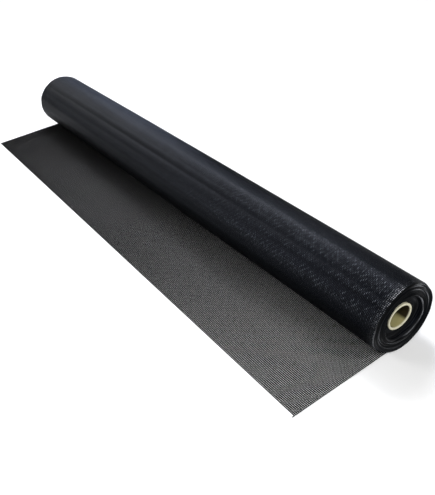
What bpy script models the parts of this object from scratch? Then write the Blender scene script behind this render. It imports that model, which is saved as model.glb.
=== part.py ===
"""A roll of insect screen mesh on a cardboard tube, with its loose end laid out flat.

The cloth is a plain woven screen of coated glass thread, 0.65 m from selvedge to selvedge and
about 9 m long. Most of it is wound on the tube. The last 0.1 m is pulled out from under the
roll and lies on the floor.

Metres, +Z up, floor at z = 0. X runs along the roll, and the end with the uneven turns is at +X.
The loose end is pulled out towards -Y. The origin is in the middle of the floor under the whole.
"""
import math

import bmesh
import bpy

# Driving dimensions of the cloth and the winding
CLOTH_WIDTH = 0.650         # selvedge to selvedge
PULLED_OUT = 0.1116         # from the cut edge of the loose end to the line under the tube
CLOTH_THICKNESS = 0.0010    # the loose end, thicker than the 0.3 mm of the real screen
NEAR_HALF_WIDTH = 0.0333    # the winding is a little wider than high, because it sags
NEAR_HALF_HEIGHT = 0.0311
FAR_HALF_WIDTH = 0.0366     # and a little thicker at its far end
FAR_HALF_HEIGHT = 0.0340
ROLL_CROWN = 0.0003         # how much more its radius is half-way along
ROLL_PRESSED = 0.0003       # how far it is pressed flat where it rests
NEAR_OUT = 0.0035           # how far the turns stand out past the loose end's near selvedge
FAR_OUT = 0.0018            # and past its far selvedge

# Driving dimensions of the cardboard tube
TUBE_RADIUS = 0.0133
TUBE_WALL = 0.0031
TUBE_NEAR_SETBACK = 0.0042  # tube end, back from the outermost turn at +X
TUBE_FAR_SETBACK = 0.0011   # tube end, back from the outermost turn at -X

# Clearance and fineness
GAP = 0.0003                # between pieces
ROUND_STEPS = 72            # facets round the roll and the tube
ROLL_STATIONS = 24          # spans along the roll
SHEET_COLUMNS = 48          # spans across the cloth's width
SHEET_ROWS = 12             # spans from the cut edge to the roll
THIN_EDGE = 0.0002          # what is left of the cloth's thickness where it runs in under the roll

# Places worked out from the sizes above
WHOLE_LENGTH = CLOTH_WIDTH + NEAR_OUT + FAR_OUT
NEAR_X = WHOLE_LENGTH / 2
FAR_X = -WHOLE_LENGTH / 2
SHEET_NEAR_X = NEAR_X - NEAR_OUT
SHEET_FAR_X = FAR_X + FAR_OUT
AXIS_Y = (PULLED_OUT - FAR_HALF_WIDTH) / 2
AXIS_Z = NEAR_HALF_HEIGHT - ROLL_PRESSED
CUT_EDGE_Y = AXIS_Y - PULLED_OUT
BORE_RADIUS = TUBE_RADIUS + GAP

# The near end's turns from the outer shoulder in to the tube: radius as a share of the room
# between the tube and the outside, and how far that turn's selvedge lies in from the outermost.
NEAR_TURNS = (
    # share, set_in
    (1.000, 0.0008),
    (0.970, 0.0002),
    (0.910, 0.0000),
    (0.840, 0.0012),
    (0.770, 0.0003),
    (0.700, 0.0015),
    (0.620, 0.0007),
    (0.540, 0.0014),
    (0.460, 0.0002),
    (0.400, 0.0011),
    (0.360, 0.0039),
    (0.180, 0.0053),
    (0.000, 0.0052),
)

# The far end's turns, which were knocked level against a flat surface.
FAR_TURNS = (
    # share, set_in
    (1.000, 0.0008),
    (0.965, 0.0002),
    (0.880, 0.0000),
    (0.600, 0.0006),
    (0.300, 0.0003),
    (0.000, 0.0010),
)

# Soft troughs and ridges along the winding. The angle is from the top, positive towards the
# loose end, and drift is how far it has moved round by the near end.
ALONG_FOLDS = (
    # angle_deg, drift_deg, rise, half_width_deg
    (5.0, 3.0, 0.00035, 9.0),
    (31.5, -5.0, -0.0007, 5.5),
    (44.0, 2.0, -0.0007, 5.5),
    (74.0, 4.0, -0.0004, 9.0),
    (-64.0, 5.0, -0.0005, 8.0),
    (-118.0, -4.0, -0.0004, 9.0),
)

# Waves of the near end's selvedges: how many round the end, their height and where they start.
END_WAVES = (
    # count, height, phase_deg
    (2, 0.0005, 35.0),
    (3, 0.0003, 110.0),
    (7, 0.0002, 20.0),
)

END_REACH = 0.011           # how far along the roll the waves are felt
WAVE_REACH = 1.2            # the waves die out at the bore and at the outermost turn
WAVE_TWIST = 5.0            # radians that they turn from the bore to the outside
FOLD_FADE = 4               # power by which the folds die out from the outside to the tube
SAG_FADE = 2                # power by which the turns' middles move from the tube's to the outside's

# Places where the loose end lifts a little off the floor.
LIFTS = (
    # x, y_from_cut_edge, height, half_length, half_width
    (-0.240, 0.046, 0.0003, 0.049, 0.022),
    (-0.087, 0.024, 0.0002, 0.060, 0.016),
    (0.146, 0.054, 0.00025, 0.065, 0.019),
)
LEAST_LIFT = 0.00005        # below this the loose end lies on the floor

SCREEN_COLOUR = (0.012, 0.013, 0.016)
CARD_COLOUR = (0.56, 0.50, 0.32)


def clear_scene():
    for old in list(bpy.data.objects):
        bpy.data.objects.remove(old, do_unlink=True)


def make_collection(name):
    collection = bpy.data.collections.new(name)
    bpy.context.scene.collection.children.link(collection)
    return collection


def make_material(name, colour, roughness):
    material = bpy.data.materials.new(name)
    material.use_nodes = True
    shader = material.node_tree.nodes["Principled BSDF"]
    shader.inputs["Base Color"].default_value = (*colour, 1.0)
    shader.inputs["Roughness"].default_value = roughness
    shader.inputs["Metallic"].default_value = 0.0
    return material


def add_object(name, mesh, collection, material, place):
    piece = bpy.data.objects.new(name, mesh)
    piece.location = place
    mesh.materials.append(material)
    collection.objects.link(piece)
    return piece


def turned_object(name, profile, collection, material, place):
    """A body turned round X from a closed profile of (x, radius) points."""
    mesh = bpy.data.meshes.new(name)
    points = [(x, 0.0, radius) for x, radius in profile]
    edges = [(i, (i + 1) % len(points)) for i in range(len(points))]
    mesh.from_pydata(points, edges, [])
    piece = add_object(name, mesh, collection, material, place)
    screw = piece.modifiers.new("Turned", "SCREW")
    screw.axis = "X"
    screw.angle = 2 * math.pi
    screw.steps = ROUND_STEPS
    screw.render_steps = ROUND_STEPS
    screw.use_merge_vertices = True
    screw.merge_threshold = 0.0001
    screw.use_normal_calculate = True
    return piece


def apply_modifiers(piece):
    """Swap the object's mesh for the evaluated one, so that its points can be moved."""
    depsgraph = bpy.context.evaluated_depsgraph_get()
    shaped = bpy.data.meshes.new_from_object(piece.evaluated_get(depsgraph))
    piece.modifiers.clear()
    piece.data = shaped
    return shaped


def face_outwards(mesh):
    work = bmesh.new()
    work.from_mesh(mesh)
    bmesh.ops.recalc_face_normals(work, faces=work.faces)
    work.to_mesh(mesh)
    work.free()


def smooth(mesh, angle_deg):
    mesh.shade_smooth()
    mesh.set_sharp_from_angle(angle=math.radians(angle_deg))


def bump(distance, half_width):
    """A soft hump: 1 in the middle, nearly nothing past twice the half width."""
    return math.exp(-(distance / half_width) ** 2)


def along_roll(x):
    """How far x is along the winding: 0 at its far end, 1 at its near end."""
    return min(1.0, max(0.0, (x - FAR_X) / (NEAR_X - FAR_X)))


def section(x):
    """The winding's outline at x: half width, half height and how high its middle is."""
    along = along_roll(x)
    crown = ROLL_CROWN * 4.0 * along * (1.0 - along)
    half_width = FAR_HALF_WIDTH + (NEAR_HALF_WIDTH - FAR_HALF_WIDTH) * along + crown
    half_height = FAR_HALF_HEIGHT + (NEAR_HALF_HEIGHT - FAR_HALF_HEIGHT) * along + crown
    return half_width, half_height, half_height - ROLL_PRESSED


def share_to_radius(share):
    """The turned form is round and of one size. Its oval outline comes afterwards."""
    return BORE_RADIUS + share * (NEAR_HALF_HEIGHT - BORE_RADIUS)


def end_profile(turns, end_x, inwards):
    """Points of one end face, from the shoulder in to the bore."""
    return [(end_x + inwards * set_in, share_to_radius(share)) for share, set_in in turns]


def winding_profile():
    """Half section of the winding: near end, bore, far end, then back along the outside."""
    near = end_profile(NEAR_TURNS, NEAR_X, -1)
    far = end_profile(FAR_TURNS, FAR_X, 1)
    far.reverse()
    near_shoulder = near[0][0]
    far_shoulder = far[-1][0]
    outside = []
    for i in range(1, ROLL_STATIONS):
        x = far_shoulder + (near_shoulder - far_shoulder) * i / ROLL_STATIONS
        outside.append((x, share_to_radius(1.0)))
    return near + far + outside


def fold_rise(angle_deg, x):
    """How far the soft troughs and ridges move the winding's skin in or out."""
    along = along_roll(x)
    rise = 0.0
    for middle_deg, drift_deg, height, half_width_deg in ALONG_FOLDS:
        away = angle_deg - (middle_deg + drift_deg * along)
        away = (away + 180.0) % 360.0 - 180.0
        rise += height * bump(away, half_width_deg)
    return rise


def end_wave(angle):
    """How far the near end's selvedges weave out and in round the end."""
    wave = 0.0
    for count, height, phase_deg in END_WAVES:
        wave += height * math.sin(count * angle + math.radians(phase_deg))
    return wave


def slacken_winding(mesh):
    """Give the turned form its oval outline, folds, wavy selvedges and flat resting place."""
    room = share_to_radius(1.0) - BORE_RADIUS
    for point in mesh.vertices:
        x, y, z = point.co
        angle = math.atan2(-y, z)
        share = min(1.0, max(0.0, (math.hypot(y, z) - BORE_RADIUS) / room))
        half_width, half_height, middle = section(x)
        folded = fold_rise(math.degrees(angle), x) * share ** FOLD_FADE
        out_y = BORE_RADIUS + share * (half_width - BORE_RADIUS) + folded
        out_z = BORE_RADIUS + share * (half_height - BORE_RADIUS) + folded
        if x > NEAR_X - END_REACH:
            slack = math.sin(math.pi * min(1.0, share * WAVE_REACH))
            x = min(NEAR_X, x + end_wave(angle + WAVE_TWIST * share) * slack)
        y = -out_y * math.sin(angle)
        z = out_z * math.cos(angle) + (middle - AXIS_Z) * share ** SAG_FADE
        point.co = (x, y, max(z, -AXIS_Z))


def make_tube(collection, material):
    near = NEAR_X - TUBE_NEAR_SETBACK
    far = FAR_X + TUBE_FAR_SETBACK
    inner = TUBE_RADIUS - TUBE_WALL
    profile = [(near, TUBE_RADIUS), (near, inner), (far, inner), (far, TUBE_RADIUS)]
    tube = turned_object("core_tube", profile, collection, material, (0.0, AXIS_Y, AXIS_Z))
    face_outwards(apply_modifiers(tube))
    smooth(tube.data, 40)
    return tube


def make_winding(collection, material):
    profile = winding_profile()
    roll = turned_object("wound_roll", profile, collection, material, (0.0, AXIS_Y, AXIS_Z))
    mesh = apply_modifiers(roll)
    slacken_winding(mesh)
    face_outwards(mesh)
    smooth(mesh, 40)
    return roll


def under_roll(x, y):
    """Height of the winding's underside over the floor, or a large height clear of it."""
    half_width, half_height, middle = section(x)
    across = abs(y - AXIS_Y) / half_width
    if across >= 1.0:
        return half_height
    return max(0.0, middle - half_height * math.sqrt(1.0 - across * across))


def tucked_edge_y(x):
    """Where the loose end stops under the roll: the last place with room for its thin edge."""
    half_width, half_height, middle = section(x)
    down = (middle - GAP - THIN_EDGE) / half_height
    return AXIS_Y - half_width * math.sqrt(1.0 - down * down)


def lift(x, y):
    height = 0.0
    for lift_x, lift_y, rise, half_length, half_width in LIFTS:
        along = bump(x - lift_x, half_length)
        across = bump(y - (CUT_EDGE_Y + lift_y), half_width)
        height += rise * along * across
    return height if height > LEAST_LIFT else 0.0


def make_loose_end(collection, material):
    bpy.ops.mesh.primitive_grid_add(x_subdivisions=SHEET_COLUMNS, y_subdivisions=SHEET_ROWS, size=1.0)
    sheet = bpy.context.object
    sheet.name = "loose_end"
    sheet.data.name = "loose_end"
    sheet.data.materials.append(material)
    for owner in list(sheet.users_collection):
        owner.objects.unlink(sheet)
    collection.objects.link(sheet)
    for point in sheet.data.vertices:
        x = SHEET_FAR_X + (point.co.x + 0.5) * CLOTH_WIDTH
        depth = tucked_edge_y(x) - CUT_EDGE_Y
        y = CUT_EDGE_Y + (point.co.y + 0.5) * depth
        point.co = (x, y, lift(x, y))
    solid = sheet.modifiers.new("Thickness", "SOLIDIFY")
    solid.thickness = CLOTH_THICKNESS
    solid.offset = 1.0
    mesh = apply_modifiers(sheet)
    for point in mesh.vertices:
        room = max(THIN_EDGE, under_roll(point.co.x, point.co.y) - GAP)
        point.co.z = min(point.co.z, room)
    face_outwards(mesh)
    smooth(mesh, 30)
    return sheet


def main():
    clear_scene()
    parts = make_collection("insect_screen_roll")
    screen = make_material("black coated glass screen", SCREEN_COLOUR, 0.55)
    card = make_material("tan cardboard", CARD_COLOUR, 0.85)
    make_tube(parts, card)
    make_winding(parts, screen)
    make_loose_end(parts, screen)


main()
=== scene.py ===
"""A roll of black insect screen on a cardboard tube, its loose end laid out flat."""
import math

import bpy
import numpy as np
from mathutils import Matrix, Vector


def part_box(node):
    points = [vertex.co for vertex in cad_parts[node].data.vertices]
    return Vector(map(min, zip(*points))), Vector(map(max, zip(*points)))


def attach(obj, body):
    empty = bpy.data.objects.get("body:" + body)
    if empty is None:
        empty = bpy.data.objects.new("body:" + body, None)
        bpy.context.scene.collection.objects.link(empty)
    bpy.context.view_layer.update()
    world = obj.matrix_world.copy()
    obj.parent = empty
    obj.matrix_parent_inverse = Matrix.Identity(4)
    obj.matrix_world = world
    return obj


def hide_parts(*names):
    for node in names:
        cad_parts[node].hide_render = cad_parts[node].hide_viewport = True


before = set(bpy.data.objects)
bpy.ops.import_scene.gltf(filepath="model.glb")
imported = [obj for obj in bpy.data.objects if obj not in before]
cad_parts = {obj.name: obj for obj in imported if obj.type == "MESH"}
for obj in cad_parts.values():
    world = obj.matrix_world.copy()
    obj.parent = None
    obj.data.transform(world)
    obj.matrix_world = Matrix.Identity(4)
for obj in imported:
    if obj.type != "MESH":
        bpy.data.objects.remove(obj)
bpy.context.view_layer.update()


# The place to look from
# The camera stands in front of the uneven end, above the loose end, and leans a little to one
# side, as it is held in the hand.
CAMERA_PLACE = Vector((0.5503, -0.2612, 0.3653))
CAMERA_AZIMUTH = math.radians(58.453)
CAMERA_ELEVATION = math.radians(35.329)
CAMERA_LEAN = math.radians(-6.875)
CAMERA_LENS = 44.41
CAMERA_SENSOR = 36.0

backwards = Vector((
    math.sin(CAMERA_AZIMUTH) * math.cos(CAMERA_ELEVATION),
    -math.cos(CAMERA_AZIMUTH) * math.cos(CAMERA_ELEVATION),
    math.sin(CAMERA_ELEVATION),
))
level_right = (-backwards).cross(Vector((0.0, 0.0, 1.0))).normalized()
level_up = level_right.cross(-backwards)
right = level_right * math.cos(CAMERA_LEAN) + level_up * math.sin(CAMERA_LEAN)
up = level_up * math.cos(CAMERA_LEAN) - level_right * math.sin(CAMERA_LEAN)
camera_turn = Matrix((right, up, backwards)).transposed().to_4x4()

camera_data = bpy.data.cameras.new("camera")
camera_data.lens = CAMERA_LENS
camera_data.sensor_width = CAMERA_SENSOR
camera_data.clip_start = 0.01
camera = bpy.data.objects.new("camera", camera_data)
camera.matrix_world = Matrix.Translation(CAMERA_PLACE) @ camera_turn
bpy.context.scene.collection.objects.link(camera)
bpy.context.scene.camera = camera


# The cardboard tube
# A spiral-wound tube of tan kraft board, cut square and pressed to an oval. The bands of paper
# lie edge to edge in a long screw line, and the cut ends are paler than the inside.
tube_low, tube_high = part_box("core_tube")
TUBE_MIDDLE = (tube_low + tube_high) / 2
TUBE_SLIMMER = 0.0008       # how much less its mean radius is than that of its round solid
TUBE_RADIUS = (tube_high.z - tube_low.z) / 2 - TUBE_SLIMMER
TUBE_SQUASH = 0.0009        # its half width is this much more, and its half height less
TUBE_DROP = 0.0004          # it hangs this much lower, because the turns above it are slack
TUBE_WALL = 0.0020
TUBE_EDGE = 0.0003          # how far its cut corners are worn round
TUBE_CORNER = (0, 30, 60, 90)   # degrees, the points round a worn corner
TUBE_END_COLOUR_REACH = 0.0013         # how far in from its ends the inside keeps the colour of the cut ends
TUBE_MOUTH = (0.8, 1.0, 1.4)    # shares of that at which the inside has points
TUBE_BAND = 0.058           # width of a paper band, measured along the tube
TUBE_SEAM_DEPTH, TUBE_SEAM_HALF = 0.00012, 0.0008
TUBE_STEPS = 120            # points round it
TUBE_STATIONS = 60          # stretches along each long side


def turned_grid(rows, steps):
    """Quads of a grid whose columns close round, as point numbers row by row."""
    here = np.arange(steps)
    there = (here + 1) % steps
    quads = []
    for row in range(rows - 1):
        low, high = row * steps, (row + 1) * steps
        quads.append(np.stack((low + here, low + there, high + there, high + here), axis=1))
    return np.concatenate(quads).tolist()


def mesh_piece(name, points, faces, material):
    """A smooth-shaded object from an array of points and a list of faces."""
    mesh = bpy.data.meshes.new(name)
    mesh.from_pydata(points.tolist(), [], faces)
    mesh.materials.append(material)
    mesh.shade_smooth()
    piece = bpy.data.objects.new(name, mesh)
    bpy.context.scene.collection.objects.link(piece)
    return piece


def mark_points(piece, mark, values):
    """Give each point of a piece a value, which its material reads by the mark's name."""
    piece.data.attributes.new(mark, "FLOAT", "POINT").data.foreach_set("value", values)


def linear(hex_colour):
    """The linear colour, with alpha, of an sRGB hex value."""
    values = [int(hex_colour[i:i + 2], 16) / 255 for i in (1, 3, 5)]
    return [v / 12.92 if v <= 0.04045 else ((v + 0.055) / 1.055) ** 2.4 for v in values] + [1.0]


def add_node(material, kind, inputs=(), **settings):
    """Add a node with its settings. An input is a value, or the output that feeds it."""
    tree = material.node_tree
    node = tree.nodes.new(kind)
    for setting, value in settings.items():
        setattr(node, setting, value)
    for socket, value in dict(inputs).items():
        if isinstance(value, bpy.types.NodeSocket):
            tree.links.new(value, node.inputs[socket])
        else:
            node.inputs[socket].default_value = value
    return node


def new_material(name):
    """An empty material and its surface output."""
    material = bpy.data.materials.new(name)
    material.use_nodes = True
    material.node_tree.nodes.clear()
    return material, add_node(material, "ShaderNodeOutputMaterial")


def finish_material(material, output, shader_inputs):
    """Lead the material's shader, with its inputs, to the surface output."""
    shader = add_node(material, "ShaderNodeBsdfPrincipled", shader_inputs)
    material.node_tree.links.new(shader.outputs["BSDF"], output.inputs["Surface"])


def blend_colours(material, factor, first, second):
    """A node output between two colours, each a hex value or an output."""
    first, second = (linear(side) if isinstance(side, str) else side for side in (first, second))
    mix = add_node(material, "ShaderNodeMix", {0: factor, 6: first, 7: second}, data_type="RGBA")
    return mix.outputs[2]


# Kraft board: uncoated paper, so it is quite matt, with short fibres that show as small streaks.
# Inside it is yellower, and painted shade darkens it to brown but for a strip along the bottom.
FIBRES_ALONG, FIBRES_ACROSS = 500.0, 1500.0     # a metre: they are 2 mm long and 0.7 mm wide
BLOTCHES = 160.0            # a metre: they are 6 mm across
# Painted shade inside the tube: none below the first height, all of it above the second
UNSHADED_BELOW, PAINTED_SHADE_ABOVE = -0.0090, -0.0066   # heights inside, from the tube's middle

board, board_output = new_material("spiral_wound_kraft_board")
place = add_node(board, "ShaderNodeTexCoord").outputs["Object"]
stretched = add_node(board, "ShaderNodeMapping", {
    "Vector": place, "Scale": (FIBRES_ALONG, FIBRES_ACROSS, FIBRES_ACROSS),
})
fibres = add_node(board, "ShaderNodeTexNoise", {
    "Vector": stretched.outputs[0], "Scale": 1.0, "Detail": 4.0, "Roughness": 0.6,
})
blotches = add_node(board, "ShaderNodeTexNoise", {
    "Vector": place, "Scale": BLOTCHES, "Detail": 2.0,
})
inside = add_node(board, "ShaderNodeAttribute", attribute_name="inside")
height = add_node(board, "ShaderNodeSeparateXYZ", {"Vector": place})
# The share of painted shade: the upper inside is coloured dark brown, as it looks in shadow
painted_shade = add_node(board, "ShaderNodeMapRange", {
    "Value": height.outputs["Z"],
    "From Min": TUBE_MIDDLE.z + UNSHADED_BELOW, "From Max": TUBE_MIDDLE.z + PAINTED_SHADE_ABOVE,
    "To Min": 0.0, "To Max": 1.0,
}, interpolation_type="SMOOTHSTEP")
fibre_colour = blend_colours(board, fibres.outputs["Fac"], "#B2AD90", "#D5D1BC")
unshaded_inner_colour = blend_colours(board, blotches.outputs["Fac"], "#8E8757", "#ACA474")
painted_shade_colour = blend_colours(board, blotches.outputs["Fac"], "#171103", "#30270D")
inner_colour = blend_colours(board, painted_shade.outputs[0], unshaded_inner_colour, painted_shade_colour)
board_colour = blend_colours(board, inside.outputs["Fac"], fibre_colour, inner_colour)
board_bump = add_node(board, "ShaderNodeBump", {
    "Height": fibres.outputs["Fac"], "Strength": 0.4, "Distance": 0.0002,
})
finish_material(board, board_output, {
    "Base Color": board_colour, "Roughness": 0.88, "Specular IOR Level": 0.25,
    "Normal": board_bump.outputs["Normal"],
})


def hump(away, half_width):
    """A soft hump, 1 in its middle and about a third of that at its half width."""
    return np.exp(-(away / half_width) ** 2)


def worn_corner(x, radius, start):
    """A corner of the tube's wall, as points of x and radius, clockwise from an angle."""
    middle_x = x - math.copysign(TUBE_EDGE, x)
    middle_radius = radius - TUBE_EDGE if radius == TUBE_RADIUS else radius + TUBE_EDGE
    turns = [math.radians(start - turned) for turned in TUBE_CORNER]
    return [
        (middle_x + TUBE_EDGE * math.cos(turn), middle_radius + TUBE_EDGE * math.sin(turn))
        for turn in turns
    ]


def long_side(start, end):
    """Stations along a straight side of the tube's wall, without its two ends."""
    return [
        (start[0] + (end[0] - start[0]) * i / TUBE_STATIONS, start[1])
        for i in range(1, TUBE_STATIONS)
    ]


inner_radius = TUBE_RADIUS - TUBE_WALL
near_cut = worn_corner(tube_high.x, TUBE_RADIUS, 90) + worn_corner(tube_high.x, inner_radius, 0)
far_cut = worn_corner(tube_low.x, inner_radius, 270) + worn_corner(tube_low.x, TUBE_RADIUS, 180)
near_mouth = [(near_cut[-1][0] - TUBE_END_COLOUR_REACH * share, near_cut[-1][1]) for share in TUBE_MOUTH]
far_mouth = [(far_cut[0][0] + TUBE_END_COLOUR_REACH * share, far_cut[0][1]) for share in TUBE_MOUTH[::-1]]
outline = near_cut + near_mouth + long_side(near_mouth[-1], far_mouth[0]) + far_mouth + far_cut
outline += long_side(far_cut[-1], near_cut[0]) + near_cut[:1]
outline = np.array(outline)
turns = np.linspace(0.0, 2 * math.pi, TUBE_STEPS, endpoint=False)
x_grid = np.repeat(outline[:, 0:1], TUBE_STEPS, axis=1)
radius_grid = np.repeat(outline[:, 1:2], TUBE_STEPS, axis=1)
along_band = (x_grid / TUBE_BAND + turns / (2 * math.pi)) % 1.0
seam = hump(np.minimum(along_band, 1.0 - along_band) * TUBE_BAND, TUBE_SEAM_HALF)
middle_radius = TUBE_RADIUS - TUBE_WALL / 2
radius_grid -= np.sign(radius_grid - middle_radius) * seam * TUBE_SEAM_DEPTH
tube_points = np.stack((
    x_grid,
    TUBE_MIDDLE.y - (radius_grid + TUBE_SQUASH) * np.sin(turns),
    TUBE_MIDDLE.z - TUBE_DROP + (radius_grid - TUBE_SQUASH) * np.cos(turns),
), axis=2).reshape(-1, 3)
tube = mesh_piece("cardboard_tube", tube_points, turned_grid(len(outline), TUBE_STEPS), board)
deep = np.minimum(tube_high.x - x_grid, x_grid - tube_low.x) > TUBE_END_COLOUR_REACH
is_inside = deep & (radius_grid < middle_radius)
mark_points(tube, "inside", is_inside.astype(np.float32).ravel())
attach(tube, "root")
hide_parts("core_tube")


# The wound turns
# About 9 m of screen, wound on the tube in some sixty turns. It is soft, so the winding sags to
# an oval, is thicker at its far end, and has troughs along it where it was gripped and tied.
roll_low, roll_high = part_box("wound_roll")
FAR_X, NEAR_X = roll_low.x, roll_high.x
AXIS_Y, AXIS_Z = TUBE_MIDDLE.y, TUBE_MIDDLE.z
SIDE_SLACK, TOP_SLACK = 0.0004, 0.0006  # between the tube and the innermost turn
BORE_HALF_WIDTH = TUBE_RADIUS + TUBE_SQUASH + SIDE_SLACK
BORE_HALF_HEIGHT = TUBE_RADIUS - TUBE_SQUASH + TOP_SLACK
NEAR_HALF_WIDTH, NEAR_HALF_HEIGHT = 0.0333, 0.0311
FAR_HALF_WIDTH, FAR_HALF_HEIGHT = 0.0366, 0.0340
ROLL_CROWN = 0.0003         # how much fatter it is halfway along than an even taper
ROLL_PRESSED = 0.0003       # how much its own weight flattens it underneath
SAG_FADE = 2                # the power of the share by which the turns hang below the axis
THREAD_PROUD = 0.00011      # the outermost threads stand this far out of the dark turns under them

# How far the selvedges of the turns are set in from the roll's two ends. A turn's share is how
# far out it lies, from 0 at the tube to 1 at the outside.
NEAR_TURNS = np.array((
    # share, set_in
    (0.000, 0.0052),
    (0.180, 0.0053),
    (0.345, 0.0042),
    (0.375, 0.0012),
    (0.400, 0.0008),
    (0.460, 0.0002),
    (0.540, 0.0014),
    (0.620, 0.0007),
    (0.700, 0.0015),
    (0.770, 0.0003),
    (0.840, 0.0012),
    (0.910, 0.0000),
    (0.970, 0.0002),
    (1.000, 0.0008),
))
FAR_TURNS = np.array((
    # share, set_in
    (0.000, 0.0010),
    (0.300, 0.0003),
    (0.600, 0.0006),
    (0.880, 0.0000),
    (0.965, 0.0002),
    (1.000, 0.0008),
))
END_WAVES = (
    # count round the near end, height, phase_deg
    (2, 0.0005, 35.0),
    (3, 0.0003, 110.0),
    (7, 0.0002, 20.0),
)
WAVE_REACH = 1.2            # the waves have died out 1 / 1.2 of the way to the outside
WAVE_TWIST = 5.0            # radians by which they turn from the tube to the outside
STEP_BACKS = (
    # angle_deg from the top towards the loose end, half_width_deg, from_share, set_in
    (122.0, 34.0, 0.52, 0.0026),
    (-38.0, 30.0, 0.66, 0.0016),
)
SLANT_REACH = 0.030         # how far along the roll the outermost turn is drawn askew by its step

ALONG_FOLDS = (
    # angle_deg from the top towards the loose end, drift_deg by the near end, rise, half_width_deg
    # The ridge on top, the two troughs in front, and a ridge and a hollow below them
    (5.0, 3.0, 0.00035, 9.0),
    (33.5, -1.5, -0.0010, 4.2),
    (51.0, -2.5, -0.0008, 4.8),
    (68.0, 0.0, 0.00045, 6.0),
    (80.0, 0.0, -0.0003, 7.0),
    # The two troughs behind
    (-64.0, 5.0, -0.0005, 8.0),
    (-118.0, -4.0, -0.0004, 9.0),
    # Fainter ones between them
    (18.0, 3.0, -0.00014, 3.0),
    (24.5, -2.0, 0.00010, 2.5),
    (61.0, -2.0, -0.00010, 2.5),
    (-14.0, 2.0, -0.00014, 3.5),
    (-38.0, -4.0, 0.00020, 5.0),
    (-90.0, 3.0, 0.00018, 5.0),
)
FOLD_FADE = 4               # the power of the share by which the folds die out towards the tube
FOLD_SWELL = 0.25           # how much of a fold's height comes and goes along the roll
SWELL_RATE, SWELL_RATE_STEP = 9.0, 2.3  # radians a metre of the first, and more of each next one
SWELL_START_STEP = 1.7      # radians by which each next one's swell is shifted
FOLD_FAR, FOLD_MORE = 0.55, 0.45        # share of a fold at the far end, and what it gains
FOLD_GAIN_RATE = 2.2        # it has gained that 1 / 2.2 of the way along the roll


def degrees_from(angle, middle_deg):
    """How far round the roll an angle lies from a place in degrees, from -180 to 180."""
    return (np.degrees(angle) - middle_deg + 180.0) % 360.0 - 180.0


def along_roll(x):
    """How far along the roll x is, from 0 at the far end to 1 at the near end."""
    return np.clip((x - FAR_X) / (NEAR_X - FAR_X), 0.0, 1.0)


def section(x):
    """Half width, half height and height of the middle of the winding at x."""
    along = along_roll(x)
    crown = ROLL_CROWN * 4.0 * along * (1.0 - along)
    half_width = FAR_HALF_WIDTH + (NEAR_HALF_WIDTH - FAR_HALF_WIDTH) * along + crown
    half_height = FAR_HALF_HEIGHT + (NEAR_HALF_HEIGHT - FAR_HALF_HEIGHT) * along + crown
    return half_width, half_height, half_height - ROLL_PRESSED


def fold_rise(angle, x):
    """How far the troughs and ridges move the skin in or out. They come and go along the roll."""
    rise = np.zeros(np.broadcast(angle, x).shape)
    gained = FOLD_FAR + FOLD_MORE * np.minimum(1.0, FOLD_GAIN_RATE * along_roll(x))
    for number, (middle_deg, drift_deg, height, half_width_deg) in enumerate(ALONG_FOLDS):
        away = degrees_from(angle, middle_deg + drift_deg * along_roll(x))
        swell_rate = SWELL_RATE + SWELL_RATE_STEP * number
        swell = 1.0 + FOLD_SWELL * np.sin(x * swell_rate + SWELL_START_STEP * number)
        rise += height * (swell * gained) * hump(away, half_width_deg)
    return rise


def wound_point(x, angle, share, out):
    """Points of the winding: share is 0 at the tube and 1 at the outside, and out is added."""
    half_width, half_height, middle = section(x)
    beyond = fold_rise(angle, x) * share ** FOLD_FADE + out
    out_y = BORE_HALF_WIDTH + share * (half_width - BORE_HALF_WIDTH) + beyond
    out_z = BORE_HALF_HEIGHT + share * (half_height - BORE_HALF_HEIGHT) + beyond
    y = AXIS_Y - out_y * np.sin(angle)
    z = AXIS_Z + out_z * np.cos(angle) + (middle - AXIS_Z) * share ** SAG_FADE
    return np.stack(np.broadcast_arrays(x, y, np.maximum(z, 0.0)), axis=-1)


def near_end_x(share, angle):
    """Where the selvedge of a turn lies at the near end."""
    wave = np.zeros(np.broadcast(share, angle).shape)
    for count, height, phase_deg in END_WAVES:
        wave += height * np.sin(count * (angle + WAVE_TWIST * share) + math.radians(phase_deg))
    slack = np.sin(math.pi * np.minimum(1.0, share * WAVE_REACH))
    wave = wave * np.maximum(slack, 0.0)
    for middle_deg, half_width_deg, from_share, set_in in STEP_BACKS:
        outer = np.maximum(0.0, (share - from_share) / (1.0 - from_share))
        wave = wave - set_in * outer * hump(degrees_from(angle, middle_deg), half_width_deg)
    return NEAR_X - np.interp(share, NEAR_TURNS[:, 0], NEAR_TURNS[:, 1]) + wave


def far_end_x(share, angle):
    """Where it lies at the far end, which is level all round, so the angle makes no difference."""
    return FAR_X + np.interp(share, FAR_TURNS[:, 0], FAR_TURNS[:, 1])


def skin_x(x, angle):
    """Where a place on the outermost turn goes, because its edge steps back at the near end."""
    near = np.clip((x - NEAR_X) / SLANT_REACH + 1.0, 0.0, 1.0)
    return x - near * (NEAR_X - near_end_x(1.0, angle))


# Screen cloth under screen cloth: black glass yarn coated with soft PVC, seen through the gaps of
# the outer turn as a dark weave that is a little turned against it, with a slate-coloured sheen.
WARP_PITCH = 0.0254 / 18    # between the threads that run round the roll
WEFT_PITCH = 0.0254 / 16    # between the threads that run along it
UNDER_TURN = 0.02           # radians by which the turn underneath is out of line
STREAKS_ALONG, STREAKS_ROUND = 4.0, 220.0       # a metre: they are 250 mm long and 4.5 mm wide


def one_band_to(pitch):
    """The scale for one band to a pitch: at scale 1 a wave texture turns 20 radians a metre."""
    return 2 * math.pi / (20 * pitch)


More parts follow.
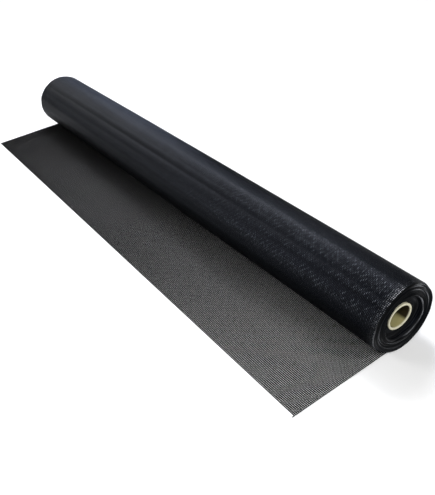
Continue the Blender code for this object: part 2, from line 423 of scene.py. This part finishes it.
layers, layers_output = new_material("layers_of_coated_screen")
place = add_node(layers, "ShaderNodeTexCoord").outputs["Object"]
apart = add_node(layers, "ShaderNodeSeparateXYZ", {"Vector": place})
from_axis_y, from_axis_z = (
    add_node(layers, "ShaderNodeMath", {0: apart.outputs[side], 1: axis}, operation="SUBTRACT")
    for side, axis in (("Y", AXIS_Y), ("Z", AXIS_Z))
)
round_angle = add_node(layers, "ShaderNodeMath", {
    0: from_axis_y.outputs[0], 1: from_axis_z.outputs[0],
}, operation="ARCTAN2")
round_length = add_node(layers, "ShaderNodeMath", {
    0: round_angle.outputs[0], 1: (NEAR_HALF_WIDTH + FAR_HALF_WIDTH) / 2,
}, operation="MULTIPLY")
unrolled = add_node(layers, "ShaderNodeCombineXYZ", {
    "X": apart.outputs["X"], "Y": round_length.outputs[0],
})
turned = add_node(layers, "ShaderNodeMapping", {
    "Vector": unrolled.outputs[0], "Rotation": (0.0, 0.0, UNDER_TURN),
})
under_warp = add_node(layers, "ShaderNodeTexWave", {
    "Vector": turned.outputs[0], "Scale": one_band_to(WARP_PITCH), "Distortion": 0.0,
}, wave_type="BANDS", bands_direction="X")
under_weft = add_node(layers, "ShaderNodeTexWave", {
    "Vector": turned.outputs[0], "Scale": one_band_to(WEFT_PITCH), "Distortion": 0.0,
}, wave_type="BANDS", bands_direction="Y")
under_weave = add_node(layers, "ShaderNodeMath", {
    0: under_warp.outputs["Fac"], 1: under_weft.outputs["Fac"],
}, operation="MAXIMUM")
streak_place = add_node(layers, "ShaderNodeMapping", {
    "Vector": unrolled.outputs[0], "Scale": (STREAKS_ALONG, STREAKS_ROUND, 1.0),
})
streaks = add_node(layers, "ShaderNodeTexNoise", {
    "Vector": streak_place.outputs[0], "Scale": 1.0, "Detail": 3.0, "Roughness": 0.55,
})
gap_colour = blend_colours(layers, streaks.outputs["Fac"], "#010101", "#030304")
thread_colour = blend_colours(layers, streaks.outputs["Fac"], "#030405", "#0B0E13")
layer_colour = blend_colours(layers, under_weave.outputs[0], gap_colour, thread_colour)
layer_bump = add_node(layers, "ShaderNodeBump", {
    "Height": under_weave.outputs[0], "Strength": 0.25, "Distance": 0.0003,
})
finish_material(layers, layers_output, {
    "Base Color": layer_colour, "Roughness": 0.32, "Specular IOR Level": 0.045,
    "Specular Tint": linear("#CFDDFF"),
    "Normal": layer_bump.outputs["Normal"],
})

ROLL_STEPS = 216            # points round each row
END_ROWS = 44               # rows from the tube to the outside
SIDE_ROWS = 90              # rows along the outside
SIDE_FROM, SIDE_TO = 0.0006, 0.0012     # the first and last of these, in from the two ends
angles = np.linspace(-math.pi, math.pi, ROLL_STEPS, endpoint=False)
end_shares = np.linspace(0.0, 1.0, END_ROWS)
end_outs = np.where(end_shares < 1.0, 0.0, -THREAD_PROUD)
rows = [
    wound_point(near_end_x(share, angles), angles, share, out)
    for share, out in zip(end_shares, end_outs)
]
rows += [
    wound_point(skin_x(x, angles), angles, 1.0, -THREAD_PROUD)
    for x in np.linspace(NEAR_X - SIDE_FROM, FAR_X + SIDE_TO, SIDE_ROWS)
]
rows += [
    wound_point(far_end_x(share, angles), angles, share, out)
    for share, out in zip(end_shares[::-1], end_outs[::-1])
]
rows.append(rows[0])
body_points = np.concatenate(rows)
body = mesh_piece("wound_turns", body_points, turned_grid(len(rows), ROLL_STEPS), layers)
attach(body, "root")
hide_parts("wound_roll")


# The turns' edges at both ends
# Each turn ends in a selvedge, a thin coated edge. They lie as one long spiral, some standing
# out and some in, and their crests carry painted highlights, brightest along the pale arcs.
TURNS = 58
EDGE_STEPS = 216            # stations round each turn
EDGE_HALF = 0.00012         # half the thickness of an edge
EDGE_SUNK = 0.0003          # how far its foot is sunk in the winding
CREST_RISE = 0.00026        # how far its crest stands out
CREST_LEVEL = 0.00016       # how far that strays from turn to turn
CREST_OVAL, CREST_RIPPLE = 0.00012, 0.00008     # and twice and five times round each turn
OVAL_SHIFT, RIPPLE_SHIFT = 3.0, 4.0     # radians by which a turn's own draw shifts these
CREST_LIMIT = 0.0004        # no crest stands further out than this, past the near end
PALE_RISE = 0.0004          # a pale stretch stands this much further out
PALE_SIDES = 0.7            # how pale an edge's sides are, as a share of its crest
PALE_SIDES_LEAST = 0.3      # the least of this that each station draws
FAINT, FAINT_SWING = 0.020, 0.015       # how pale the crests are all round, and how it varies
FAINT_TWIST = 37.0          # radians that this turns from the tube to the outside
# Arcs of painted highlight on the turns' crests, at both ends alike
PALE_ARCS = (
    # share, half_share, angle_deg from the top towards the loose end, half_width_deg, paleness
    # The turns that stand proud, at the back
    (0.405, 0.016, -62.0, 22.0, 0.75),
    (0.440, 0.022, -112.0, 14.0, 0.65),
    (0.430, 0.020, -155.0, 18.0, 0.30),
    # The outer turns, at the upper back
    (0.680, 0.014, -40.0, 16.0, 1.00),
    (0.830, 0.016, -38.0, 18.0, 1.00),
    (0.930, 0.010, -36.0, 16.0, 0.70),
    (0.760, 0.010, -66.0, 20.0, 0.60),
    (0.985, 0.010, -56.0, 22.0, 0.70),
    # The dish round the tube
    (0.220, 0.050, -56.0, 15.0, 0.10),
    # The lower front
    (0.400, 0.010, 128.0, 26.0, 0.30),
    (0.560, 0.007, 140.0, 24.0, 0.35),
    (0.660, 0.007, 112.0, 24.0, 0.45),
    (0.760, 0.007, 130.0, 28.0, 0.45),
    (0.860, 0.007, 112.0, 26.0, 0.50),
    (0.930, 0.007, 128.0, 22.0, 0.45),
    (0.990, 0.005, 104.0, 28.0, 0.38),
    # Underneath
    (0.600, 0.008, 176.0, 22.0, 0.25),
    (0.860, 0.008, 170.0, 24.0, 0.25),
)

# Coated selvedge: the same soft black PVC as the cloth, dulled by handling, with painted
# highlights on its crests, broken into fine grains.
GRAINS = 900.0              # a metre: they are 1.1 mm across

selvedge, selvedge_output = new_material("coated_selvedge_painted_highlights")
place = add_node(selvedge, "ShaderNodeTexCoord").outputs["Object"]
crest = add_node(selvedge, "ShaderNodeAttribute", attribute_name="crest")
grains = add_node(selvedge, "ShaderNodeTexNoise", {"Vector": place, "Scale": GRAINS, "Detail": 2.0})
grain_shares = add_node(selvedge, "ShaderNodeMapRange", {
    "Value": grains.outputs["Fac"], "From Min": 0.3, "From Max": 0.7, "To Min": 0.55, "To Max": 1.0,
})
grainy_painted_highlight = add_node(selvedge, "ShaderNodeMath", {
    0: crest.outputs["Fac"], 1: grain_shares.outputs[0],
}, operation="MULTIPLY")
# The crests are painted pale grey as highlights, black elsewhere
selvedge_colour = blend_colours(selvedge, grainy_painted_highlight.outputs[0], "#030405", "#E4E7EE")
finish_material(selvedge, selvedge_output, {
    "Base Color": selvedge_colour, "Roughness": 0.42, "Specular IOR Level": 0.05,
})

draws = np.random.default_rng(18)       # for all that is uneven in the cloth, alike at each run


def paleness(share, angle):
    """How far a turn's edge is painted pale as a highlight, along the pale arcs."""
    pale = np.zeros(np.broadcast(share, angle).shape)
    for middle, half_share, middle_deg, half_width_deg, most in PALE_ARCS:
        across = hump(share - middle, half_share)
        pale = pale + most * across * hump(degrees_from(angle, middle_deg), half_width_deg)
    return np.clip(pale, 0.0, 1.0)


def edge_spiral(name, end_x, outwards):
    """The turns' edges at one end, as one spiral ridge of three points across."""
    count = TURNS * EDGE_STEPS + 1
    wound = np.arange(count) / EDGE_STEPS
    share = wound / TURNS
    angle = wound * 2 * math.pi
    turn = np.minimum(wound.astype(int), TURNS - 1)
    own = draws.uniform(-1.0, 1.0, (4, TURNS + 1))
    share_of_turn = wound - turn

    def eased(values):
        """Each turn's own value, which changes evenly to the next turn's on the way round."""
        return values[turn] * (1.0 - share_of_turn) + values[turn + 1] * share_of_turn

    stray = CREST_LEVEL * eased(own[0])
    stray += CREST_OVAL * eased(own[1]) * np.sin(2 * angle + OVAL_SHIFT * eased(own[2]))
    stray += CREST_RIPPLE * np.sin(5 * angle + RIPPLE_SHIFT * eased(own[3]))
    base_x = end_x(share, angle)
    arcs = paleness(share, angle)
    crest_x = base_x + outwards * (CREST_RISE + stray + PALE_RISE * arcs)
    if outwards > 0:
        crest_x = np.minimum(crest_x, NEAR_X + CREST_LIMIT)
    sunk_x = base_x - outwards * EDGE_SUNK
    inner = wound_point(sunk_x, angle, share, -EDGE_HALF)
    middle = wound_point(crest_x, angle, share, 0.0)
    outer = wound_point(sunk_x, angle, share, EDGE_HALF)
    points = np.stack((inner, middle, outer), axis=1).reshape(-1, 3)
    start = np.arange(count - 1) * 3
    quads = np.concatenate([
        np.stack((start + a, start + b, start + 3 + b, start + 3 + a), axis=1)
        for a, b in ((0, 1), (1, 2), (2, 0))
    ])
    piece = mesh_piece(name, points, quads.tolist(), selvedge)
    # The crests get painted highlights: the pale arcs, and a faint paleness all round
    faint = FAINT + FAINT_SWING * np.sin(FAINT_TWIST * share + 2.0 * angle)
    crests = np.zeros((count, 3), np.float32)
    crests[:, 1] = arcs + faint * eased(np.abs(own[2]))
    sides = arcs * draws.uniform(PALE_SIDES_LEAST, 1.0, count)
    crests[:, (0, 2)] = PALE_SIDES * sides[:, None]
    mark_points(piece, "crest", crests.ravel())
    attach(piece, "root")


edge_spiral("near_turn_edges", near_end_x, 1.0)
edge_spiral("far_turn_edges", far_end_x, -1.0)


# The outermost turn of screen
# Plain weave at 18 threads to the inch along the roll and 16 round it. The threads that run
# round pass over and under the ones that run along, and the coating fuses them where they cross.
THREAD_HALF = 0.00020       # drawn 0.4 mm wide, because the real 0.28 mm is too fine to show
WAVE_HALF = 0.00004         # half of how far a thread rises and falls
RING_MARGIN, LINE_MARGIN = 0.0008, 0.0006       # how far in from the ends the threads start
LINE_STATIONS = 48          # points along each thread that runs along

# Each knuckle of a thread that runs round is painted pale by a share of its own, as a glint. The
# glints are paler near the uneven end, from the top forwards, where the light falls, and on the
# ridges; painted shade darkens them in the troughs and below the roll's side.
KNUCKLE_LEAST = 0.01        # how pale every knuckle is at the least
KNUCKLE_FAR = 0.15          # how much paler the palest are at the far end
KNUCKLE_NEAR = 0.55         # and how much more that is at the near end
NEAR_POWER = 3              # it grows by this power of the way along the roll
DRAW_LEAST = 0.1            # the least share that a knuckle or loop draws
DRAW_POWER = 1.8            # the higher this is, the rarer are the palest
UNDER_SHARE = 0.2           # the share that is left where a thread passes under
GLINT_ALONG, GLINT_ROUND = 0.0060, 0.0052       # paler knuckles lie in slanting rows, so far apart
GLINT_SWING = 0.6           # how much paler these are
LIGHT_FROM, LIGHT_OVER = -3.0, 6.0          # degrees from the top, where the painted light sets in
LIGHT_BEHIND, LIGHT_IN_FRONT = 0.12, 0.50         # the shares behind there, and what is added in front
LIGHT_MOST, LIGHT_MIDDLE = 0.45, 0.35       # what its middle adds, and the radians to there
SHADED_TROUGH_DEPTH = 0.0009    # a trough this deep would lose all its painted light
SHADED_TROUGH_LEAST, RIDGE_MOST = 0.2, 1.25         # but no less than this, and a ridge no more
LOW_FROM, LOW_OVER, LOW_SHARE = 72.0, 4.0, 0.1  # degrees from the top, and the share below there
LINE_PALENESS = (0.006, 0.03)   # of the threads that run along, from the least to the most

# Glass yarn coated with PVC: black, half glossy, so each thread has a fine light line along its
# top, and a pale painted highlight on its crest adds to it. On the roll it has a touch of blue,
# and as a single layer it looks neutral.
MOTTLES = 700.0             # a metre: they are 1.4 mm across


def coated_yarn(name, dark_crest, light_crest, shine_tint):
    """A yarn with the colours of the painted highlights on its crests, and of its shine."""
    yarn, yarn_output = new_material(name)
    place = add_node(yarn, "ShaderNodeTexCoord").outputs["Object"]
    mottle = add_node(yarn, "ShaderNodeTexNoise", {
        "Vector": place, "Scale": MOTTLES, "Detail": 1.0,
    })
    yarn_crest = add_node(yarn, "ShaderNodeAttribute", attribute_name="crest")
    crest_colour = blend_colours(yarn, mottle.outputs["Fac"], dark_crest, light_crest)
    yarn_colour = blend_colours(yarn, yarn_crest.outputs["Fac"], "#040404", crest_colour)
    finish_material(yarn, yarn_output, {
        "Base Color": yarn_colour, "Roughness": 0.30, "Specular IOR Level": 0.11,
        "Specular Tint": linear(shine_tint),
    })
    return yarn


wound_yarn = coated_yarn("pvc_coated_glass_yarn_wound", "#9197A3", "#AAAFBA", "#CFDDFF")


def ridge_threads(name, left, top, right_side, crests, yarn, closed_round, closed_below):
    """Threads of three points across. Each array is threads by stations by 3, and crests says
    how pale each thread is along its top."""
    threads, stations = top.shape[:2]
    points = np.stack((left, top, right_side), axis=2).reshape(-1, 3)
    first = (np.arange(threads) * stations)[:, None]
    here = np.arange(stations if closed_round else stations - 1)[None, :]
    start = ((first + here) * 3).ravel()
    after = ((first + (here + 1) % stations) * 3).ravel()
    sides = [(0, 1), (1, 2)] + ([(2, 0)] if closed_below else [])
    faces = [np.stack((start + a, after + a, after + b, start + b), axis=1) for a, b in sides]
    faces = np.concatenate(faces).tolist()
    if closed_below and not closed_round:
        starts = (first[:, 0] * 3).tolist()
        ends = ((first[:, 0] + stations - 1) * 3).tolist()
        faces += [(e, e + 1, e + 2) for e in starts]
        faces += [(e + 2, e + 1, e) for e in ends]
    piece = mesh_piece(name, points, faces, yarn)
    shown = np.zeros((threads, stations, 3), np.float32)
    shown[..., 1] = crests
    mark_points(piece, "crest", shown.ravel())
    return piece


def past(angle, middle_deg, over_deg):
    """0 before a place round the roll and 1 after it, or the reverse over a negative number.
    It changes softly over that number of degrees."""
    return 1.0 / (1.0 + np.exp((middle_deg - np.degrees(angle)) / over_deg))


def painted_fold_and_low_shade(angle, x):
    """How much of the painted light is kept: painted shade takes it away down in the folds and
    below the roll's side, and the ridges get more.
    """
    on_the_folds = 1.0 + fold_rise(angle, x) / SHADED_TROUGH_DEPTH
    on_the_folds = np.clip(on_the_folds, SHADED_TROUGH_LEAST, RIDGE_MOST)
    return on_the_folds * (LOW_SHARE + (1.0 - LOW_SHARE) * past(angle, LOW_FROM, -LOW_OVER))


ring_count = int((NEAR_X - FAR_X) / WARP_PITCH)
around = round(math.pi * (NEAR_HALF_WIDTH + FAR_HALF_WIDTH) / WEFT_PITCH)
around += around % 2
ring_numbers = np.arange(ring_count)
ring_room = NEAR_X - FAR_X - 2 * RING_MARGIN
ring_x = FAR_X + RING_MARGIN + (ring_numbers + 0.5) * ring_room / ring_count
ring_angles = (np.arange(around) + 0.5) * 2 * math.pi / around
# Two pieces, because one of all the threads that run round would be too large.
for name, chosen in (
    ("outer_turn_near_half", ring_x > 0.0),
    ("outer_turn_far_half", ring_x <= 0.0),
):
    angle = ring_angles[None, :]
    shifted = skin_x(ring_x[chosen][:, None], angle)
    is_over = (ring_numbers[chosen][:, None] + np.arange(around)[None, :]) % 2
    over = np.where(is_over, WAVE_HALF, -WAVE_HALF)
    ring_left = wound_point(shifted - THREAD_HALF, angle, 1.0, over - THREAD_PROUD)
    ring_right = wound_point(shifted + THREAD_HALF, angle, 1.0, over - THREAD_PROUD)
    ring_top = wound_point(shifted, angle, 1.0, over + WAVE_HALF)
    most = KNUCKLE_FAR + KNUCKLE_NEAR * along_roll(shifted) ** NEAR_POWER
    own = KNUCKLE_LEAST + most * draws.uniform(DRAW_LEAST, 1.0, is_over.shape) ** DRAW_POWER
    slant = np.sin(2 * math.pi * (shifted / GLINT_ALONG + angle * NEAR_HALF_WIDTH / GLINT_ROUND))
    # Painted light and shade: the glints are paler from the top forwards and darker behind it
    in_front = LIGHT_IN_FRONT + LIGHT_MOST * np.maximum(np.cos(angle - LIGHT_MIDDLE), 0.0)
    painted_light_share = LIGHT_BEHIND + in_front * past(angle, LIGHT_FROM, LIGHT_OVER)
    knuckles = np.where(is_over, 1.0, UNDER_SHARE) * own * (1.0 + GLINT_SWING * slant)
    knuckles = knuckles * painted_light_share * painted_fold_and_low_shade(angle, shifted)
    rings = ridge_threads(
        name, ring_left, ring_top, ring_right, knuckles, wound_yarn,
        closed_round=True, closed_below=False,
    )
    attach(rings, "root")

line_angle = ring_angles[:, None]
line_x = np.linspace(FAR_X + LINE_MARGIN, NEAR_X - LINE_MARGIN, LINE_STATIONS)[None, :]
line_x = skin_x(line_x, line_angle)
half_angle = THREAD_HALF / NEAR_HALF_WIDTH
line_left = wound_point(line_x, line_angle - half_angle, 1.0, -THREAD_PROUD)
line_right = wound_point(line_x, line_angle + half_angle, 1.0, -THREAD_PROUD)
line_top = wound_point(line_x, line_angle, 1.0, WAVE_HALF / 2)
# Painted highlights along the tops of the long threads, with painted shade in folds and below
line_crests = draws.uniform(*LINE_PALENESS, (around, 1)) * painted_fold_and_low_shade(line_angle, line_x)
lines = ridge_threads(
    "outer_turn_long_threads", line_left, line_top, line_right, line_crests, wound_yarn,
    closed_round=False, closed_below=False,
)
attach(lines, "root")

# The selvedge: where the long threads turn back they make a row of small loops with pale tops,
# with three looser rows beside it. The pale tops are painted glints, brightest on the roll's
# front shoulder.
LOOP_ROWS = (
    # back from the edge, half_length, half_width, paleness
    (0.0004, 0.00065, 0.00048, 1.00),
    (0.0020, 0.00060, 0.00044, 0.90),
    (0.0037, 0.00060, 0.00040, 0.65),
    (0.0055, 0.00060, 0.00036, 0.40),
)
LOOP_POINTS = 5             # four round its foot, and its top
LOOP_TOP = 1.6 * WAVE_HALF
LOOP_DRAW_POWER = 1.5
SHOULDER_DEG, SHOULDER_HALF_DEG = 24.0, 28.0
OFF_SHOULDER = 0.25         # the share of their paleness away from it

loop_points, loop_faces, loop_crests = [], [], []
for row, (back, half_length, half_width, pale) in enumerate(LOOP_ROWS):
    half_turn = half_width / NEAR_HALF_WIDTH
    middle_x = skin_x(NEAR_X - back, ring_angles)
    ring_of_loops = np.stack((
        wound_point(middle_x - half_length, ring_angles, 1.0, -THREAD_PROUD),
        wound_point(middle_x, ring_angles - half_turn, 1.0, -THREAD_PROUD),
        wound_point(middle_x + half_length, ring_angles, 1.0, -THREAD_PROUD),
        wound_point(middle_x, ring_angles + half_turn, 1.0, -THREAD_PROUD),
        wound_point(middle_x, ring_angles, 1.0, LOOP_TOP),
    ), axis=1)
    loop_points.append(ring_of_loops.reshape(-1, 3))
    first = LOOP_POINTS * (np.arange(around) + row * around)[:, None]
    for a, b in ((0, 1), (1, 2), (2, 3), (3, 0)):
        loop_faces.append(first + np.array(((b, a, LOOP_POINTS - 1),)))
    on_the_shoulder = hump(np.degrees(ring_angles) - SHOULDER_DEG, SHOULDER_HALF_DEG)
    crests = pale * (OFF_SHOULDER + (1.0 - OFF_SHOULDER) * on_the_shoulder)
    crests = crests * draws.uniform(DRAW_LEAST, 1.0, around) ** LOOP_DRAW_POWER
    loop_crests.append(np.repeat(crests, LOOP_POINTS))
loop_points, loop_faces = np.concatenate(loop_points), np.concatenate(loop_faces).tolist()
loops = mesh_piece("near_selvedge_loops", loop_points, loop_faces, selvedge)
mark_points(loops, "crest", np.concatenate(loop_crests).astype(np.float32))
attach(loops, "root")


# The loose end
# The last tenth of a metre of the cloth, drawn out from under the roll and left flat. It is cut
# square along a thread, each side ends in a firmer selvedge thread, and the floor shows through.
sheet_low, sheet_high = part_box("loose_end")
CUT_Y, TUCKED_Y = sheet_low.y, sheet_high.y
SHEET_FAR_X, SHEET_NEAR_X = sheet_low.x, sheet_high.x
NET_WEFT_HALF = 0.00037     # drawn 0.74 mm wide for the same reason as on the roll
NET_WARP_HALF = 0.00029     # the threads that are cut at the edge are drawn a little finer
NET_SELVEDGE_HALF = 0.00040
NET_THREAD_HEIGHT = 0.00057
NET_WAVE = 0.00012          # half of how far the warp rises and falls
NET_REST = 0.00015          # how high the lowest threads lie
NET_PALENESS = 0.03         # how pale the painted highlight on their tops is
CUT_ENDS = 0.0003           # how unevenly the threads are cut
STRAY_END = 0.0020          # one at the near corner was missed by the knife
ROLL_CLEARANCE = 0.0002     # left free under the roll
WEFT_STATIONS = 22          # points along each weft
LIFTS = (
    # x, y_from_cut_edge, height, half_length, half_width
    (-0.240, 0.046, 0.0003, 0.049, 0.022),
    (-0.087, 0.024, 0.0002, 0.060, 0.016),
    (0.146, 0.054, 0.00025, 0.065, 0.019),
)


def net_height(x, y):
    """How high the loose end lies, a little higher where it lifts off the floor."""
    height = np.full(np.broadcast(x, y).shape, NET_REST)
    for lift_x, lift_y, rise, half_length, half_width in LIFTS:
        along = hump(x - lift_x, half_length)
        height = height + rise * along * hump(y - CUT_Y - lift_y, half_width)
    return height


def under_roll(x, y):
    """How high the roll's underside is."""
    half_width, half_height, middle = section(x)
    across = np.minimum(1.0, np.abs(y - AXIS_Y) / half_width)
    return middle - half_height * np.sqrt(1.0 - across ** 2)


def net_point(x, y, above):
    """Points of the loose end, pressed down where it runs in under the roll."""
    z = net_height(x, y) + above
    z = np.minimum(z, np.maximum(under_roll(x, y) - ROLL_CLEARANCE, 0.0))
    return np.stack(np.broadcast_arrays(x, y, np.maximum(z, 0.0)), axis=-1)


flat_yarn = coated_yarn("pvc_coated_glass_yarn_laid_flat", "#8B898C", "#A3A1A5", "#FFFDFF")

warp_count = round((SHEET_NEAR_X - SHEET_FAR_X) / WARP_PITCH)
weft_count = round((TUCKED_Y - CUT_Y) / WEFT_PITCH)
weft_y = np.linspace(CUT_Y + NET_WEFT_HALF, TUCKED_Y - NET_WEFT_HALF, weft_count)
warp_x = np.linspace(
    SHEET_FAR_X + NET_SELVEDGE_HALF, SHEET_NEAR_X - NET_SELVEDGE_HALF, warp_count,
)[:, None]
warp_y = np.tile(weft_y, (warp_count, 1))
warp_y[:, 0] -= draws.uniform(0.0, CUT_ENDS, warp_count)
warp_y[-1, 0] -= STRAY_END
warp_half = np.full(warp_x.shape, NET_WARP_HALF)
warp_half[0], warp_half[-1] = NET_SELVEDGE_HALF, NET_SELVEDGE_HALF
is_over = (np.arange(warp_count)[:, None] + np.arange(weft_count)[None, :]) % 2
warp_over = 2 * NET_WAVE * is_over
warp_left = net_point(warp_x - warp_half, warp_y, warp_over)
warp_right = net_point(warp_x + warp_half, warp_y, warp_over)
warp_top = net_point(warp_x, warp_y, warp_over + NET_THREAD_HEIGHT)
net = ridge_threads(
    "loose_end_net", warp_left, warp_top, warp_right, NET_PALENESS, flat_yarn,
    closed_round=False, closed_below=True,
)

weft_x = np.linspace(SHEET_FAR_X, SHEET_NEAR_X, WEFT_STATIONS)[None, :]
weft_y = weft_y[:, None]
weft_left = net_point(weft_x, weft_y - NET_WEFT_HALF, NET_WAVE)
weft_right = net_point(weft_x, weft_y + NET_WEFT_HALF, NET_WAVE)
weft_top = net_point(weft_x, weft_y, NET_WAVE + NET_THREAD_HEIGHT)
wefts = ridge_threads(
    "loose_end_weft", weft_left, weft_top, weft_right, NET_PALENESS, flat_yarn,
    closed_round=False, closed_below=True,
)
with bpy.context.temp_override(active_object=net, selected_editable_objects=[net, wefts]):
    bpy.ops.object.join()
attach(net, "root")
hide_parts("loose_end")


# The room
# A plain floor of pale matt paper, and soft light from large lamps that stand all round, named
# for where they stand or what they light. Those behind are a little blue, for the roll's sheen.
FLOOR_SIDE = 12.0
WORLD_STRENGTH = 0.03
LAMPS = (
    # name, x, y, z, side, power, colour
    ("softbox_high_behind", -0.95, 0.90, 1.30, 0.8, 4.5, "#D9E4FF"),
    ("softbox_low_behind", -1.90, 1.10, 0.35, 0.8, 7.0, "#D2DFFF"),
    ("softbox_near_end", -0.39, 0.44, 0.88, 0.45, 7.0, "#FFFFFF"),
    ("softbox_left", -1.60, 0.35, 1.30, 0.8, 8.0, "#EEF3FF"),
    ("softbox_left_front", -1.70, -0.20, 1.10, 0.8, 6.0, "#FFFFFF"),
    ("softbox_far_front", -1.60, -0.80, 0.90, 0.8, 2.2, "#FFFFFF"),
    ("softbox_front", -0.70, -1.00, 0.70, 0.5, 6.5, "#FFFFFF"),
    ("softbox_over_end", 0.90, -0.90, 1.10, 0.9, 11.0, "#FFFFFF"),
    ("softbox_beyond_end", 1.30, 0.35, 1.00, 0.8, 13.0, "#FFFFFF"),
)

paper, paper_output = new_material("pale_matt_paper")
finish_material(paper, paper_output, {
    "Base Color": linear("#FCFCFC"), "Roughness": 0.9, "Specular IOR Level": 0.1,
})
bpy.ops.mesh.primitive_plane_add(size=FLOOR_SIDE, location=(0.0, 0.0, 0.0))
floor = bpy.context.object
floor.name = "floor"
floor.data.materials.append(paper)

world = bpy.data.worlds.new("studio")
bpy.context.scene.world = world
world.use_nodes = True
background = world.node_tree.nodes["Background"]
background.inputs["Color"].default_value = (1.0, 1.0, 1.0, 1.0)
background.inputs["Strength"].default_value = WORLD_STRENGTH


def lamp(name, place, side, power, colour):
    """A square lamp that faces the middle of the floor."""
    data = bpy.data.lights.new(name, "AREA")
    data.shape = "RECTANGLE"
    data.size, data.size_y = side, side
    data.energy = power
    data.color = linear(colour)[:3]
    light = bpy.data.objects.new(name, data)
    light.location = place
    light.rotation_euler = (-place).to_track_quat("-Z", "Y").to_euler()
    bpy.context.scene.collection.objects.link(light)


for name, x, y, z, side, power, colour in LAMPS:
    lamp(name, Vector((x, y, z)), side, power, colour)
bpy.context.scene.view_settings.view_transform = "Standard"
